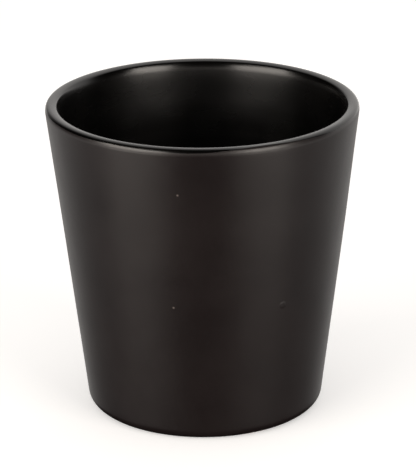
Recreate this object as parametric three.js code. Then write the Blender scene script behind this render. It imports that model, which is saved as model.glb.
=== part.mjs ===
// Empty candle jar: a tapered stoneware cup, glazed satin black outside and gloss black inside.
// Millimetres, +Z up. The origin is on the ground, on the jar's axis of revolution.
//
// The cup is one piece of fired clay with three coats of glaze fused to it. The clay and each
// coat are a solid of their own. A coat meets the clay on the clay's own vertices, so the two
// touch without a gap and without an overlap.

import * as THREE from 'three';

// Driving dimensions of the finished jar, glaze included.
const HEIGHT = 90.9;
const RIM_RADIUS = 45;
const WALL_LEAN = THREE.MathUtils.degToRad(6.93);
const FLOOR_HEIGHT = 5.5;
const FLOOR_FILLET = 6.5;
const FOOT_ROUND = 3.5;
const FOOT_RING_INNER_RADIUS = 27;
const FOOT_RECESS = 1.3;
const GLAZE_THICKNESS = 0.35;

// The outer glaze stops this far round the foot, counted from the foot's lowest line.
const BARE_FOOT_ANGLE = THREE.MathUtils.degToRad(12);

// The rounds of the rim, from the outer wall to the inner one. Each ends where the surface faces
// this many degrees up from level, counted over the rim, and the next goes on from there.
const SHOULDER = { radius: 3, endsAt: THREE.MathUtils.degToRad(24), steps: 3 };
const OUTER_CORNER = { radius: 0.9, endsAt: THREE.MathUtils.degToRad(70), steps: 3 };
const OUTER_CROWN = { radius: 2, endsAt: THREE.MathUtils.degToRad(90), steps: 2 };
const INNER_CROWN = { radius: 4.2, endsAt: THREE.MathUtils.degToRad(110), steps: 2 };
const INNER_CORNER = { radius: 0.8, endsAt: THREE.MathUtils.degToRad(156), steps: 3 };
const FLARE = { radius: 8, endsAt: Math.PI - WALL_LEAN, steps: 3 };
const RIM_ROUNDS = [SHOULDER, OUTER_CORNER, OUTER_CROWN, INNER_CROWN, INNER_CORNER, FLARE];

// Smoothness of the solids: sides round the axis, and steps along each round of the profile.
const SIDES = 64;
const FOOT_STEPS = 5;
const FILLET_STEPS = 5;

// Directions in the profile plane, where x is the radius and y is the height.
const DOWN = -Math.PI / 2;
const OUT_OF_WALL = -WALL_LEAN;

function pointOnRound(centre, radius, angle) {
  return new THREE.Vector2(
    centre.x + radius * Math.cos(angle),
    centre.y + radius * Math.sin(angle),
  );
}

// Centres of the rim's rounds. Each round goes on smoothly where the one before it ends. The
// widest point of the shoulder has the rim's radius, and the crown's top has the jar's height.
function rimCentres() {
  const centres = [new THREE.Vector2(RIM_RADIUS - SHOULDER.radius, 0)];
  for (let i = 1; i < RIM_ROUNDS.length; i += 1) {
    const before = RIM_ROUNDS[i - 1];
    const step = before.radius - RIM_ROUNDS[i].radius;
    centres.push(pointOnRound(centres[i - 1], step, before.endsAt));
  }
  const crownCentre = centres[RIM_ROUNDS.indexOf(OUTER_CROWN)];
  const lift = HEIGHT - OUTER_CROWN.radius - crownCentre.y;
  return centres.map((centre) => new THREE.Vector2(centre.x, centre.y + lift));
}

const RIM_CENTRES = rimCentres();
const SHOULDER_CENTRE = RIM_CENTRES[0];

// Radius, at a height, of the cone that lies a given depth inside the finished outer wall.
function wallRadius(height, depth) {
  const offset = (SHOULDER.radius - depth) / Math.cos(WALL_LEAN);
  const drop = SHOULDER_CENTRE.y - height;
  return SHOULDER_CENTRE.x + offset - drop * Math.tan(WALL_LEAN);
}

// The inner wall runs on from the flare, so the rim's rounds set the wall's thickness.
const FLARE_END = pointOnRound(RIM_CENTRES.at(-1), FLARE.radius, FLARE.endsAt);
const WALL_THICKNESS = (wallRadius(FLARE_END.y, 0) - FLARE_END.x) * Math.cos(WALL_LEAN);

// Centre of a round that touches both the cone at a depth and a level line one radius below.
function cornerCentre(height, radius, depth) {
  return new THREE.Vector2(wallRadius(height, depth) - radius / Math.cos(WALL_LEAN), height);
}

const FOOT_CENTRE = cornerCentre(FOOT_ROUND, FOOT_ROUND, 0);
const FILLET_CENTRE = cornerCentre(FLOOR_HEIGHT + FLOOR_FILLET, FLOOR_FILLET, WALL_THICKNESS);

function arc(centre, radius, from, to, steps) {
  const points = [];
  for (let step = 0; step <= steps; step += 1) {
    const angle = THREE.MathUtils.lerp(from, to, step / steps);
    points.push(pointOnRound(centre, radius, angle));
  }
  return points;
}

// Outside of the jar from the end of its glaze at the foot to the glaze lap on the rim's shoulder.
function outerSurface(depth) {
  const bottom = DOWN + BARE_FOOT_ANGLE;
  const round = SHOULDER.radius - depth;
  return [
    ...arc(FOOT_CENTRE, FOOT_ROUND - depth, bottom, OUT_OF_WALL, FOOT_STEPS),
    ...arc(SHOULDER_CENTRE, round, OUT_OF_WALL, SHOULDER.endsAt, SHOULDER.steps),
  ];
}

// The rim from the lap over its crown to the end of the flare, where the inner wall begins.
function rimSurface(depth) {
  const points = [pointOnRound(SHOULDER_CENTRE, SHOULDER.radius - depth, SHOULDER.endsAt)];
  for (let i = 1; i < RIM_ROUNDS.length; i += 1) {
    const { radius, endsAt, steps } = RIM_ROUNDS[i];
    const from = RIM_ROUNDS[i - 1].endsAt;
    points.push(...arc(RIM_CENTRES[i], radius - depth, from, endsAt, steps).slice(1));
  }
  return points;
}

// From the lap over the rim and down the inside to the middle of the floor.
function innerSurface(depth) {
  return [
    ...rimSurface(depth),
    ...arc(FILLET_CENTRE, FLOOR_FILLET + depth, OUT_OF_WALL, DOWN, FILLET_STEPS),
    new THREE.Vector2(0, FLOOR_HEIGHT - depth),
  ];
}

function satinBlackGlaze() {
  return new THREE.MeshStandardMaterial({ color: 0x191415, roughness: 0.32, metalness: 0 });
}

function glossBlackGlaze() {
  return new THREE.MeshStandardMaterial({ color: 0x050404, roughness: 0.24, metalness: 0 });
}

function bareStoneware() {
  return new THREE.MeshStandardMaterial({ color: 0xb9ab98, roughness: 0.85, metalness: 0 });
}

// Turns a profile round the jar's axis. The profile runs outwards along the underside first.
function turned(name, profile, material) {
  const geometry = new THREE.LatheGeometry(profile, SIDES);
  geometry.rotateX(Math.PI / 2);
  const mesh = new THREE.Mesh(geometry, material);
  mesh.name = name;
  return mesh;
}

// Fired clay: floor, wall and the flat ground ring that the jar stands on.
function clayBody() {
  const recessRadius = FOOT_RING_INNER_RADIUS - FOOT_RECESS;
  const recessCeiling = FOOT_RECESS + GLAZE_THICKNESS;
  const underside = [
    new THREE.Vector2(0, recessCeiling),
    new THREE.Vector2(recessRadius, recessCeiling),
    new THREE.Vector2(recessRadius, FOOT_RECESS),
    new THREE.Vector2(FOOT_RING_INNER_RADIUS, 0),
    new THREE.Vector2(FOOT_CENTRE.x, 0),
    pointOnRound(FOOT_CENTRE, FOOT_ROUND, DOWN + BARE_FOOT_ANGLE),
  ];
  const outside = outerSurface(GLAZE_THICKNESS);
  const pastLap = innerSurface(GLAZE_THICKNESS).slice(1);
  return turned('clay_body', [...underside, ...outside, ...pastLap], bareStoneware());
}

// Satin coat from the edge of the foot ring, up the wall to the shoulder of the rim.
function outerGlaze() {
  const face = outerSurface(0);
  const backing = outerSurface(GLAZE_THICKNESS).reverse();
  return turned('outer_glaze', [...face, ...backing, face[0]], satinBlackGlaze());
}

// Gloss liner over the floor, up the inside and over the rim to its outer shoulder.
function innerGlaze() {
  const backing = innerSurface(GLAZE_THICKNESS).reverse();
  const face = innerSurface(0);
  return turned('inner_glaze', [...backing, ...face], glossBlackGlaze());
}

// Coat over the recessed middle of the underside, inside the foot ring.
function baseGlaze() {
  const edge = FOOT_RING_INNER_RADIUS - FOOT_RECESS;
  const face = FOOT_RECESS;
  const backing = FOOT_RECESS + GLAZE_THICKNESS;
  const profile = [
    new THREE.Vector2(0, face),
    new THREE.Vector2(edge, face),
    new THREE.Vector2(edge, backing),
    new THREE.Vector2(0, backing),
  ];
  return turned('base_glaze', profile, satinBlackGlaze());
}

const candleJar = new THREE.Group();
candleJar.add(clayBody(), outerGlaze(), innerGlaze(), baseGlaze());

export default candleJar;
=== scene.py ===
"""Empty candle jar: fine meshes, glaze and clay materials, and a plain studio.

Everything is in metres, in the frame's own axes: +Z up, the origin on the ground on the jar's axis.
"""

import math

import bpy
from mathutils import Matrix, Vector, noise


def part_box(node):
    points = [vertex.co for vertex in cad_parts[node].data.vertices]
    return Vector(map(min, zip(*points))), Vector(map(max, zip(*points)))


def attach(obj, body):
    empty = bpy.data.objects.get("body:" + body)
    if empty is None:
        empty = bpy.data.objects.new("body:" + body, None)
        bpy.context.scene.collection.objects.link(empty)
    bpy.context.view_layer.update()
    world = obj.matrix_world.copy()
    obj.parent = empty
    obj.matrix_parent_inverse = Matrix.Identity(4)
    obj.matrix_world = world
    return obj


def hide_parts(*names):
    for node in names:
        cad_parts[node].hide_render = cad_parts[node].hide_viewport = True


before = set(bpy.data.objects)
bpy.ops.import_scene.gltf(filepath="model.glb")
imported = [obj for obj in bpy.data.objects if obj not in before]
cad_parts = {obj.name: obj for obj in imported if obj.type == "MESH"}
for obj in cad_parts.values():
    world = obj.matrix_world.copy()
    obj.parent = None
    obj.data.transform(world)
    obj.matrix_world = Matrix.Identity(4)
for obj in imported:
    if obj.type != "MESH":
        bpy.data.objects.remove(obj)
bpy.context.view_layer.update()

MM = 0.001

# Sizes that the frame gives.
OUTER_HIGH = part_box("outer_glaze")[1]
INNER_LOW, INNER_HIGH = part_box("inner_glaze")
BASE_LOW, BASE_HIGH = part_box("base_glaze")
HEIGHT = INNER_HIGH[2]
RIM_RADIUS = OUTER_HIGH[0]
GLAZE = BASE_HIGH[2] - BASE_LOW[2]
FLOOR_HEIGHT = INNER_LOW[2] + GLAZE
FOOT_RECESS = BASE_LOW[2]
RECESS_RADIUS = BASE_HIGH[0]

# Shape of the profile between those sizes, as in the CAD model.
WALL_LEAN = math.radians(6.93)
FLOOR_FILLET = 6.5 * MM
FOOT_ROUND = 3.5 * MM
BARE_FOOT_ANGLE = math.radians(12)

DOWN, OUT_OF_WALL, INTO_CAVITY = -math.pi / 2, -WALL_LEAN, math.pi - WALL_LEAN

# The rim's rounds from the outer wall to the inner one: the radius, and the angle up from level,
# counted over the rim, where each ends.
RIM_ROUNDS = {
    "shoulder": (3.0 * MM, math.radians(24)),
    "outer corner": (0.9 * MM, math.radians(70)),
    "outer crown": (2.0 * MM, math.radians(90)),
    "inner crown": (4.2 * MM, math.radians(110)),
    "inner corner": (0.8 * MM, math.radians(156)),
    "flare": (8.0 * MM, INTO_CAVITY),
}

# Two shallow throwing rings inside, under the rim.
THROWING_DEPTH = 0.03 * MM
THROWING_PITCH = 12 * MM
THROWING_TOP = 12.5 * MM
THROWING_REACH = 14 * MM

# The liner glaze laps over the rim to its outer shoulder. Its edge wanders, and to the right of
# the front it climbs almost to the crown, where it is a thicker bead.
LAP_ANGLE = math.radians(20)
LAP_WANDER = math.radians(6)
CLIMB_AZIMUTH = math.radians(-68)
CLIMB_SPREAD = math.radians(12)
CLIMB_ANGLE = math.radians(46)
LAP_BEAD = 0.02 * MM
CLIMB_BEAD = 0.11 * MM
BEAD_SPREAD = 0.3 * MM

# The edge of the outer glaze wanders round the foot, and the underside's glaze climbs its corner.
FOOT_EDGE_WANDER = math.radians(5)
FOOT_BEAD = 0.025 * MM
CORNER_CLIMB = 0.30 * MM
CORNER_WANDER = 0.16 * MM
CORNER_ROUND = 0.9 * MM

# The lines that wander round the jar: how many waves each has, and the seed that shapes them.
LAP_WAVES, LAP_SEED = 14, 3.5
FOOT_WAVES, FOOT_SEED = 22, 8.5
CORNER_WAVES, CORNER_SEED = 26, 5.5

# The jar is not quite true: its rim sits off its axis and tilts, its right side is full, and its
# whole surface ripples.
RIM_SHIFT = 0.13 * MM
RIM_SHIFT_AZIMUTH = math.radians(160)
RIM_TILT = 0.12 * MM
RIM_TILT_AZIMUTH = math.radians(130)
RIM_SHIFT_START = 0.62
SIDE_BULGE = 0.12 * MM
BULGE_HEIGHT = 50 * MM
BULGE_SPREAD = 22 * MM
RIPPLE = 0.02 * MM
RIPPLE_LENGTH = 11 * MM

# Fineness of the visible meshes.
SIDES = 360
ROUND_STEP = math.radians(5)
STRAIGHT_STEP = 1.5 * MM
FOOT_STEPS = 15
LAP_STEPS = 14
CROWN_STEPS = 60
CORNER_STEPS = 6
SHARP_EDGE = math.radians(50)
AXIS_RADIUS = 1e-9


def on_round(centre, radius, angle):
    return centre + radius * Vector((math.cos(angle), math.sin(angle)))


def rim_centres():
    """Centres of the rim's rounds, which run smoothly into each other, at the jar's size."""
    rounds = list(RIM_ROUNDS.values())
    centres = [Vector((RIM_RADIUS - rounds[0][0], 0))]
    for (radius, end), (next_radius, _) in zip(rounds, rounds[1:]):
        centres.append(on_round(centres[-1], radius - next_radius, end))
    placed = dict(zip(RIM_ROUNDS, centres))
    lift = HEIGHT - RIM_ROUNDS["outer crown"][0] - placed["outer crown"].y
    return {name: centre + Vector((0, lift)) for name, centre in placed.items()}


RIM_CENTRES = rim_centres()


def rim_point(angle, depth):
    """Point on the rim, or a depth inside it, where the surface faces an angle up from level."""
    for name, (radius, end) in RIM_ROUNDS.items():
        if angle <= end:
            break
    return on_round(RIM_CENTRES[name], radius - depth, angle)


def wall_radius(height, depth):
    """Radius at a height of the cone that lies a depth inside the finished outer wall."""
    centre, radius = RIM_CENTRES["shoulder"], RIM_ROUNDS["shoulder"][0]
    drop = centre.y - height
    return centre.x + (radius - depth) / math.cos(WALL_LEAN) - drop * math.tan(WALL_LEAN)


def corner_centre(height, radius, depth):
    """Centre of a round that touches the cone at a depth and a level line one radius below."""
    return Vector((wall_radius(height, depth) - radius / math.cos(WALL_LEAN), height))


FLARE_END = rim_point(INTO_CAVITY, 0)
WALL_THICKNESS = (wall_radius(FLARE_END.y, 0) - FLARE_END.x) * math.cos(WALL_LEAN)
FOOT_CENTRE = corner_centre(FOOT_ROUND, FOOT_ROUND, 0)
FILLET_CENTRE = corner_centre(FLOOR_HEIGHT + FLOOR_FILLET, FLOOR_FILLET, WALL_THICKNESS)


def smooth(value, low, high):
    """A smooth step from 0 at low to 1 at high."""
    t = min(1, max(0, (value - low) / (high - low)))
    return t * t * (3 - 2 * t)


def hump(distance, spread):
    return math.exp(-((distance / spread) ** 2))


def wander(azimuth, waves, seed):
    """A smooth random line round the jar, from about -1 to 1."""
    circle = Vector((math.cos(azimuth), math.sin(azimuth), 0)) * waves / math.tau
    return 2 * noise.noise(circle + Vector((0, 0, seed)))


def climb(azimuth):
    """How far the lap has climbed towards the crown, from 0 to 1."""
    away = (azimuth - CLIMB_AZIMUTH + math.pi) % math.tau - math.pi
    return hump(away, CLIMB_SPREAD)


def lap_angle(azimuth):
    wandering = LAP_WANDER * wander(azimuth, LAP_WAVES, LAP_SEED)
    return LAP_ANGLE + wandering + CLIMB_ANGLE * climb(azimuth)


def foot_edge_angle(azimuth):
    return DOWN + BARE_FOOT_ANGLE + FOOT_EDGE_WANDER * wander(azimuth, FOOT_WAVES, FOOT_SEED)


def arc(centre, radius, start, end, steps=None):
    steps = steps or max(2, round(abs(end - start) / ROUND_STEP))
    return [on_round(centre, radius, start + (end - start) * i / steps) for i in range(steps + 1)]


def straight(start, end):
    """Points between two ends, without the ends."""
    steps = max(2, round((end - start).length / STRAIGHT_STEP))
    return [start.lerp(end, i / steps) for i in range(1, steps)]


def rim_run(start, end, depth, steps):
    return [rim_point(start + (end - start) * i / steps, depth) for i in range(steps + 1)]


def outer_surface(depth, azimuth):
    """Outside of the jar from the end of its glaze at the foot to the lap on the rim's shoulder."""
    edge = foot_edge_angle(azimuth)
    foot = arc(FOOT_CENTRE, FOOT_ROUND - depth, edge, OUT_OF_WALL, FOOT_STEPS)
    rim = rim_run(OUT_OF_WALL, lap_angle(azimuth), depth, LAP_STEPS)
    return foot + straight(foot[-1], rim[0]) + rim


def throwing_rings(point):
    below = HEIGHT - point.y - THROWING_TOP
    fade = hump(below, THROWING_REACH)
    return THROWING_DEPTH * fade * math.sin(math.tau * below / THROWING_PITCH)


def inner_surface(depth, azimuth):
    """From the lap over the crown of the rim and down the inside to the middle of the floor."""
    rim = rim_run(lap_angle(azimuth), INTO_CAVITY, depth, CROWN_STEPS)
    fillet = arc(FILLET_CENTRE, FLOOR_FILLET + depth, OUT_OF_WALL, DOWN)
    middle = Vector((0, FLOOR_HEIGHT - depth))
    wall = straight(rim[-1], fillet[0])
    ringed = [Vector((point.x - throwing_rings(point), point.y)) for point in wall]
    return rim + ringed + fillet + straight(fillet[-1], middle) + [middle]


def with_bead(face, backing, height):
    """Thickens a coat into a bead along its edge, at the first point of its face."""
    raised = []
    for point, under in zip(face, backing):
        bead = height * hump((point - face[0]).length, BEAD_SPREAD)
        raised.append(point + bead * (point - under).normalized())
    return raised


def untrue(point):
    """Moves a point of the turned surface to where the slightly uneven real one has it."""
    azimuth = math.atan2(point.y, point.x)
    upper = smooth(point.z / HEIGHT, RIM_SHIFT_START, 1)
    right = max(0, math.cos(azimuth)) ** 2
    out = RIM_SHIFT * upper * math.cos(azimuth - RIM_SHIFT_AZIMUTH)
    out += SIDE_BULGE * right * hump(point.z - BULGE_HEIGHT, BULGE_SPREAD)
    out += RIPPLE * noise.noise(point / RIPPLE_LENGTH)
    out *= min(1, point.xy.length / RECESS_RADIUS)
    up = RIM_TILT * upper * upper * math.cos(azimuth - RIM_TILT_AZIMUTH)
    return point + Vector((out * math.cos(azimuth), out * math.sin(azimuth), up))


def turned(name, profile_at):
    """Turns a profile, which may change with the azimuth, round the jar's axis.

    A closed profile repeats its first point at its end. A profile that starts and ends on the
    axis is closed there by one shared point for each end.
    """
    azimuths = [math.tau * i / SIDES for i in range(SIDES)]
    profiles = [profile_at(azimuth) for azimuth in azimuths]
    closed = profiles[0][0] == profiles[0][-1]
    rows = len(profiles[0]) - closed
    vertices, rings = [], []
    for row in range(rows):
        on_axis = profiles[0][row].x < AXIS_RADIUS
        ring = []
        for azimuth, profile in zip(azimuths, profiles):
            if on_axis and ring:
                break
            radius, height = profile[row]
            point = Vector((radius * math.cos(azimuth), radius * math.sin(azimuth), height))
            ring.append(len(vertices))
            vertices.append(untrue(point))
        rings.append(ring)
    faces = []
    for lower, upper in zip(rings, rings[1:] + rings[:1] * closed):
        for i in range(SIDES):
            j = (i + 1) % SIDES
            if len(lower) == 1:
                faces.append((lower[0], upper[j], upper[i]))
            elif len(upper) == 1:
                faces.append((lower[i], lower[j], upper[0]))
            else:
                faces.append((lower[i], lower[j], upper[j], upper[i]))
    mesh = bpy.data.meshes.new(name)
    mesh.from_pydata(vertices, [], faces)
    mesh.validate()
    mesh.shade_smooth()
    mesh.set_sharp_from_angle(angle=SHARP_EDGE)
    piece = bpy.data.objects.new(name, mesh)
    bpy.context.scene.collection.objects.link(piece)
    return piece


def clay_piece():
    ceiling = FOOT_RECESS + GLAZE

    def profile(azimuth):
        edge = on_round(FOOT_CENTRE, FOOT_ROUND, foot_edge_angle(azimuth))
        foot_bottom = Vector((FOOT_CENTRE.x, 0))
        ring_inner = Vector((RECESS_RADIUS + FOOT_RECESS, 0))
        recess_edge = Vector((RECESS_RADIUS, FOOT_RECESS))
        recess_corner = Vector((RECESS_RADIUS, ceiling))
        recess = [Vector((0, ceiling))] + straight(Vector((0, ceiling)), recess_corner)
        chamfer = [recess_corner, recess_edge] + straight(recess_edge, ring_inner)
        ring = [ring_inner] + straight(ring_inner, foot_bottom) + [foot_bottom, edge]
        coated = outer_surface(GLAZE, azimuth) + inner_surface(GLAZE, azimuth)[1:]
        return recess + chamfer + ring + coated

    return turned("fired_clay", profile)


def outer_glaze_piece():
    def profile(azimuth):
        backing = outer_surface(GLAZE, azimuth)
        face = with_bead(outer_surface(0, azimuth), backing, FOOT_BEAD)
        return face + backing[::-1] + face[:1]

    return turned("satin_glaze_coat", profile)


def inner_glaze_piece():
    def profile(azimuth):
        backing = inner_surface(GLAZE, azimuth)
        height = LAP_BEAD + CLIMB_BEAD * climb(azimuth)
        return backing[::-1] + with_bead(inner_surface(0, azimuth), backing, height)

    return turned("gloss_glaze_liner", profile)


def base_glaze_piece():
    """The underside's coat, with a round in its corner where it climbs the foot ring's chamfer."""

    def profile(azimuth):
        rise = CORNER_CLIMB + CORNER_WANDER * wander(azimuth, CORNER_WAVES, CORNER_SEED)
        chamfer_end = Vector((RECESS_RADIUS + rise, FOOT_RECESS - rise))
        corner_start = Vector((RECESS_RADIUS - CORNER_ROUND, FOOT_RECESS))
        corner = Vector((RECESS_RADIUS, FOOT_RECESS))
        face = [Vector((0, FOOT_RECESS))] + straight(Vector((0, FOOT_RECESS)), corner_start)
        for step in range(CORNER_STEPS + 1):
            t = step / CORNER_STEPS
            bend = corner_start.lerp(corner, t).lerp(corner.lerp(chamfer_end, t), t)
            face.append(bend)
        back_corner = Vector((RECESS_RADIUS, FOOT_RECESS + GLAZE))
        return face + [corner, back_corner, Vector((0, FOOT_RECESS + GLAZE))]

    return turned("underside_glaze", profile)


# The full middle of a spot or a mark, as a part of its radius.
SPOT_CORE = 0.5
MARK_CORE = 0.4


class Tree:
    """Adds and links the nodes of one node tree."""

    def __init__(self, tree):
        self.tree = tree

    def new(self, kind, **settings):
        node = self.tree.nodes.new(kind)
        for setting, value in settings.items():
            setattr(node, setting, value)
        return node

    def put(self, value, socket):
        """Links an output to a socket, or sets the socket to a plain value."""
        if isinstance(value, bpy.types.NodeSocket):
            self.tree.links.new(value, socket)
        else:
            socket.default_value = value

    def math(self, operation, first, second=0.0):
        node = self.new("ShaderNodeMath", operation=operation)
        self.put(first, node.inputs[0])
        self.put(second, node.inputs[1])
        return node.outputs[0]

    def ramp(self, value, low, high, start=0.0, end=1.0):
        """A smooth step from start, where the value is low, to end, where it is high."""
        node = self.new("ShaderNodeMapRange", interpolation_type="SMOOTHSTEP")
        self.put(value, node.inputs["Value"])
        node.inputs["From Min"].default_value = low
        node.inputs["From Max"].default_value = high
        node.inputs["To Min"].default_value = start
        node.inputs["To Max"].default_value = end
        return node.outputs["Result"]

    def blend(self, factor, first, second):
        """A number between two others."""
        node = self.new("ShaderNodeMix")
        self.put(factor, node.inputs["Factor"])
        self.put(first, node.inputs["A"])
        self.put(second, node.inputs["B"])
        return node.outputs["Result"]


class Nodes(Tree):
    """One material's node tree, with its textures placed on the jar's own axes."""

    def __init__(self, name):
        self.material = bpy.data.materials.new(name)
        self.material.use_nodes = True
        super().__init__(self.material.node_tree)
        self.shader = self.tree.nodes["Principled BSDF"]
        self.place = self.new("ShaderNodeTexCoord").outputs["Object"]

    def noise(self, size, detail=2.0, where=None):
        node = self.new("ShaderNodeTexNoise")
        self.put(where or self.place, node.inputs["Vector"])
        node.inputs["Scale"].default_value = 1 / size
        node.inputs["Detail"].default_value = detail
        return node.outputs["Fac"]

    def spots(self, spacing, size):
        """Scattered round spots: 1 inside a spot and 0 outside."""
        node = self.new("ShaderNodeTexVoronoi")
        self.put(self.place, node.inputs["Vector"])
        node.inputs["Scale"].default_value = 1 / spacing
        reach = size / spacing
        return self.ramp(node.outputs["Distance"], reach, SPOT_CORE * reach)

    def mix(self, factor, first, second):
        node = self.new("ShaderNodeMix", data_type="RGBA")
        self.put(factor, node.inputs["Factor"])
        self.put(first, node.inputs[6])
        self.put(second, node.inputs[7])
        return node.outputs[2]

    def height_and_radius(self):
        split = self.new("ShaderNodeSeparateXYZ")
        self.put(self.place, split.inputs[0])
        flat = self.new("ShaderNodeCombineXYZ")
        self.put(split.outputs["X"], flat.inputs["X"])
        self.put(split.outputs["Y"], flat.inputs["Y"])
        length = self.new("ShaderNodeVectorMath", operation="LENGTH")
        self.put(flat.outputs[0], length.inputs[0])
        return split.outputs["Z"], length.outputs["Value"]

    def along(self, value):
        """Texture coordinates that change only with a value, for rings."""
        line = self.new("ShaderNodeCombineXYZ")
        self.put(value, line.inputs["X"])
        return line.outputs[0]

    def mark(self, height, azimuth, size):
        """A small round mark on the outer wall, seen from the front as azimuth -90."""
        radius = wall_radius(height, 0)
        angle = math.radians(azimuth)
        node = self.new("ShaderNodeVectorMath", operation="DISTANCE")
        self.put(self.place, node.inputs[0])
        node.inputs[1].default_value = (radius * math.cos(angle), radius * math.sin(angle), height)
        return self.ramp(node.outputs["Value"], size, MARK_CORE * size)

    def bumps(self, *layers):
        """Bump from layers of a height output and its depth in metres."""
        below = None
        for value, depth in layers:
            node = self.new("ShaderNodeBump")
            node.inputs["Distance"].default_value = depth
            self.put(value, node.inputs["Height"])
            if below:
                self.put(below, node.inputs["Normal"])
            below = node.outputs["Normal"]
        self.put(below, self.shader.inputs["Normal"])


# Small marks on the outer wall: height, azimuth and size. Two are pale specks, and one is a
# shallow blister in the glaze.
PALE_MARKS = (
    (77.2 * MM, -99.4, 0.42 * MM),
    (42.5 * MM, -102.7, 0.42 * MM),
)
BLISTER = (40.7 * MM, -55.7, 1.3 * MM)
BLISTER_HEIGHT = 0.05 * MM

# The values that most of a noise texture lies between.
NOISE_RANGE = (0.3, 0.7)

# Colours of the glazes and the clay.
SATIN_DARK = (0.0068, 0.0044, 0.0045, 1)
SATIN_LIGHT = (0.0088, 0.0060, 0.0060, 1)
SATIN_GRAIN = (0.016, 0.012, 0.012, 1)
# Painted shade: the darker colour of the pits stands in for the shade inside them.
PIT_SHADE = (0.002, 0.0015, 0.0015, 1)
PALE_MARK = (0.075, 0.062, 0.056, 1)
GLOSS_DARK = (0.0011, 0.0010, 0.0009, 1)
GLOSS_LIGHT = (0.0018, 0.0016, 0.0015, 1)
CLAY_DARK = (0.43, 0.36, 0.275, 1)
CLAY_LIGHT = (0.51, 0.44, 0.345, 1)
CLAY_GRIT = (0.33, 0.27, 0.20, 1)
CLAY_SPECK = (0.10, 0.065, 0.045, 1)
CLAY_SCUFF = (0.30, 0.28, 0.26, 1)

# Roughness: the least, and the most that its patches add or the limits it varies between.
SATIN_ROUGHNESS, SATIN_PATCHES = 0.30, 0.06
GLOSS_ROUGHNESS = (0.25, 0.29)
CLAY_ROUGHNESS = (0.92, 0.78)

# The crown of the rim is glossier than the rest of the liner, from these depths below the top.
CROWN_GLOSS = 0.09
CROWN_GLOSS_START = 2.2 * MM
CROWN_GLOSS_FULL = 0.8 * MM


def satin_glaze():
    """Satin glaze: mottled warm black, with a fine grain, tiny pits darkened with painted shade, and a
    few small marks.
    """
    n = Nodes("satin_black_glaze")
    broad, patchy = n.noise(16 * MM), n.noise(7 * MM, 3.0)
    grain, pits_and_shade = n.noise(0.45 * MM), n.spots(3.2 * MM, 0.16 * MM)
    colour = n.mix(n.ramp(broad, *NOISE_RANGE), SATIN_DARK, SATIN_LIGHT)
    colour = n.mix(n.ramp(grain, 0.55, 0.8, 0.0, 0.25), colour, SATIN_GRAIN)
    for height, azimuth, size in PALE_MARKS:
        colour = n.mix(n.mark(height, azimuth, size), colour, PALE_MARK)
    # Painted shade: the pits are darkened in the base colour, as well as dented by the bump below.
    n.put(n.mix(pits_and_shade, colour, PIT_SHADE), n.shader.inputs["Base Color"])
    rough = n.math("MULTIPLY_ADD", patchy, SATIN_PATCHES)
    rough.node.inputs[2].default_value = SATIN_ROUGHNESS
    rough = n.math("ADD", rough, n.ramp(grain, *NOISE_RANGE, -0.015, 0.02))
    n.put(rough, n.shader.inputs["Roughness"])
    blister = n.mark(*BLISTER)
    n.bumps(
        (n.noise(5 * MM), 0.02 * MM),
        (grain, 0.005 * MM),
        (pits_and_shade, -0.02 * MM),
        (blister, BLISTER_HEIGHT),
    )
    return n.material


def gloss_glaze():
    """Gloss liner: nearly pure black, glossier on the crown, with faint rings and orange peel."""
    n = Nodes("gloss_black_glaze")
    height, radius = n.height_and_radius()
    broad, peel = n.noise(14 * MM), n.noise(2.4 * MM)
    rings = n.noise(4 * MM, 1.0, n.along(height))
    colour = n.mix(n.ramp(broad, *NOISE_RANGE), GLOSS_DARK, GLOSS_LIGHT)
    n.put(colour, n.shader.inputs["Base Color"])
    crown = n.ramp(height, HEIGHT - CROWN_GLOSS_START, HEIGHT - CROWN_GLOSS_FULL)
    glossier = n.math("MULTIPLY", crown, CROWN_GLOSS)
    rough = n.math("SUBTRACT", n.ramp(broad, *NOISE_RANGE, *GLOSS_ROUGHNESS), glossier)
    rough = n.math("ADD", rough, n.ramp(rings, 0.35, 0.65, -0.01, 0.01))
    n.put(rough, n.shader.inputs["Roughness"])
    floor_rings = n.noise(2.2 * MM, 2.0, n.along(radius))
    n.bumps((rings, 0.010 * MM), (floor_rings, 0.010 * MM), (peel, 0.0015 * MM))
    return n.material


def bare_clay():
    """Unglazed stoneware: gritty and speckled, with ground rings and grey scuffs where it stands."""
    n = Nodes("bare_stoneware")
    height, radius = n.height_and_radius()
    cloud, grit = n.noise(9 * MM, 3.0), n.noise(0.5 * MM, 3.0)
    specks = n.spots(1.6 * MM, 0.28 * MM)
    rings = n.noise(0.45 * MM, 2.0, n.along(radius))
    colour = n.mix(n.ramp(cloud, *NOISE_RANGE), CLAY_DARK, CLAY_LIGHT)
    colour = n.mix(n.ramp(grit, 0.5, 0.75, 0.0, 0.45), colour, CLAY_GRIT)
    colour = n.mix(specks, colour, CLAY_SPECK)
    contact = n.ramp(height, 0.25 * MM, 0.0)
    scuff = n.math("MULTIPLY", contact, n.ramp(rings, 0.45, 0.7, 0.0, 0.5))
    n.put(n.mix(scuff, colour, CLAY_SCUFF), n.shader.inputs["Base Color"])
    n.put(n.ramp(grit, *NOISE_RANGE, *CLAY_ROUGHNESS), n.shader.inputs["Roughness"])
    n.bumps((rings, 0.02 * MM), (grit, 0.04 * MM), (specks, -0.03 * MM))
    return n.material


def place(piece, node, material):
    piece.data.materials.append(material)
    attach(piece, "root")
    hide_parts(node)


# Camera: the photograph's view, from the front and 20 degrees above, with a slight roll.
CAMERA_LENS_MM = 202.8
CAMERA_DISTANCE = 0.7802
CAMERA_ELEVATION = math.radians(20.18)
CAMERA_ROLL = math.radians(0.52)
AIM_RIGHT = math.radians(0.089)
AIM_UP = math.radians(0.282)


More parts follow.
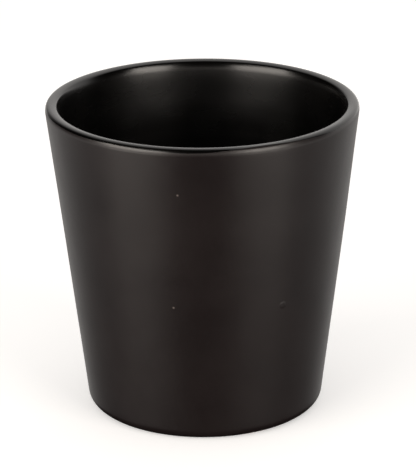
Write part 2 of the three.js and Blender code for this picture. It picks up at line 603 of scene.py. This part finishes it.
def add_camera():
    target = Vector((0, 0, HEIGHT / 2))
    data = bpy.data.cameras.new("camera")
    data.lens = CAMERA_LENS_MM
    camera = bpy.data.objects.new("camera", data)
    bpy.context.scene.collection.objects.link(camera)
    back = Vector((0, -math.cos(CAMERA_ELEVATION), math.sin(CAMERA_ELEVATION)))
    facing = Matrix.Rotation(math.pi / 2 - CAMERA_ELEVATION, 4, "X")
    aim = Matrix.Rotation(-AIM_RIGHT, 4, "Y") @ Matrix.Rotation(AIM_UP, 4, "X")
    roll = Matrix.Rotation(-CAMERA_ROLL, 4, "Z")
    camera.matrix_world = Matrix.Translation(target + CAMERA_DISTANCE * back) @ facing @ aim @ roll
    bpy.context.scene.camera = camera


# Studio. Directions are seen from the jar: azimuth 0 is towards the camera and positive to its
# right, and elevation is above the ground. Below the ground they are reflections in the table.
WARM_LIGHT = (1.0, 0.925, 0.85)
LIGHT_DISTANCE = 1.3
SOFTBOXES = {
    "softbox_left": {"azimuth": -51, "elevation": 12, "width": 46, "height": 26, "radiance": 6.8},
    "softbox_right": {"azimuth": 43, "elevation": 13, "width": 32, "height": 27, "radiance": 6.8},
    "front_fill": {"azimuth": -2, "elevation": 6, "width": 44, "height": 14, "radiance": 0.9},
    "table_sheen_left": {"azimuth": -50, "elevation": -17, "width": 44, "height": 15, "radiance": 2.6},
    "table_sheen_right": {"azimuth": 46, "elevation": -17, "width": 40, "height": 15, "radiance": 2.2},
}
DOME_FILL = 0.6
SKY_TINT = (1, 0.97, 0.94, 1)

# What gloss reflects besides the lamps. Each pair gives where a glow starts and where it is full,
# along a direction's part upwards, away from the camera or to the right.
TABLE_NEAR = (-0.55, -0.38)
TABLE_FAR = (-0.06, -0.16)
TABLE_FRONT = (-0.9, -0.45)
TABLE_GLOW = 0.6
BACKDROP_START = (0.05, 0.35)
BACKDROP_FOOT = (-0.25, -0.05)
BACKDROP_LEFT = (-0.8, 0.1)
BACKDROP_GLOW = 1.0

FLOOR_SIZE = 8
FLOOR_GREY = 0.92
FLOOR_ROUGHNESS = 0.9
FLOOR_EMISSION = 0.35


def add_softbox(name, azimuth, elevation, width, height, radiance):
    """A soft lamp of a given size in degrees, and brightness, as the jar sees it."""
    data = bpy.data.lights.new(name, "AREA")
    data.shape = "RECTANGLE"
    data.size = 2 * LIGHT_DISTANCE * math.tan(math.radians(width / 2))
    data.size_y = 2 * LIGHT_DISTANCE * math.tan(math.radians(height / 2))
    data.color = WARM_LIGHT
    data.energy = radiance * math.pi * data.size * data.size_y
    lamp = bpy.data.objects.new(name, data)
    bpy.context.scene.collection.objects.link(lamp)
    a, e = math.radians(azimuth), math.radians(elevation)
    out = Vector((math.sin(a) * math.cos(e), -math.cos(a) * math.cos(e), math.sin(e)))
    lamp.location = Vector((0, 0, HEIGHT / 2)) + LIGHT_DISTANCE * out
    lamp.rotation_euler = out.to_track_quat("Z", "Y").to_euler()
    lamp.visible_camera = False


def add_floor():
    bpy.ops.mesh.primitive_plane_add(size=FLOOR_SIZE)
    floor = bpy.context.object
    floor.name = "floor"
    paper = Nodes("pale_floor")
    paper.shader.inputs["Base Color"].default_value = (FLOOR_GREY, FLOOR_GREY, FLOOR_GREY, 1)
    paper.shader.inputs["Roughness"].default_value = FLOOR_ROUGHNESS
    paper.shader.inputs["Emission Color"].default_value = (1, 1, 1, 1)
    paper.shader.inputs["Emission Strength"].default_value = FLOOR_EMISSION
    floor.data.materials.append(paper.material)
    floor.visible_glossy = False
    floor.visible_diffuse = False
    floor.visible_shadow = False


def add_world():
    """White to the camera, an even fill to matt surfaces, and in gloss a pale table and backdrop."""
    world = bpy.data.worlds.new("studio")
    world.use_nodes = True
    bpy.context.scene.world = world
    tree = Tree(world.node_tree)
    split = tree.new("ShaderNodeSeparateXYZ")
    tree.put(tree.new("ShaderNodeTexCoord").outputs["Generated"], split.inputs[0])
    right, back, height = split.outputs["X"], split.outputs["Y"], split.outputs["Z"]
    table = tree.ramp(height, *TABLE_NEAR)
    table = tree.math("MULTIPLY", table, tree.ramp(height, *TABLE_FAR))
    table = tree.math("MULTIPLY", table, tree.ramp(back, *TABLE_FRONT))
    table = tree.math("MULTIPLY", table, TABLE_GLOW)
    backdrop = tree.ramp(back, *BACKDROP_START)
    backdrop = tree.math("MULTIPLY", backdrop, tree.ramp(height, *BACKDROP_FOOT))
    backdrop = tree.math("MULTIPLY", backdrop, tree.ramp(right, *BACKDROP_LEFT))
    backdrop = tree.math("MULTIPLY", backdrop, BACKDROP_GLOW)
    path = tree.new("ShaderNodeLightPath")
    glow = tree.math("ADD", table, backdrop)
    fill = tree.blend(path.outputs["Is Diffuse Ray"], glow, DOME_FILL)
    seen = tree.blend(path.outputs["Is Camera Ray"], fill, 1.0)
    background = world.node_tree.nodes["Background"]
    tree.put(seen, background.inputs["Strength"])
    background.inputs["Color"].default_value = SKY_TINT


def main():
    bpy.context.scene.view_settings.view_transform = "Standard"
    satin, gloss, clay = satin_glaze(), gloss_glaze(), bare_clay()
    place(clay_piece(), "clay_body", clay)
    place(outer_glaze_piece(), "outer_glaze", satin)
    place(inner_glaze_piece(), "inner_glaze", gloss)
    place(base_glaze_piece(), "base_glaze", satin)
    add_camera()
    add_floor()
    add_world()
    for name, lamp in SOFTBOXES.items():
        add_softbox(name, **lamp)


main()
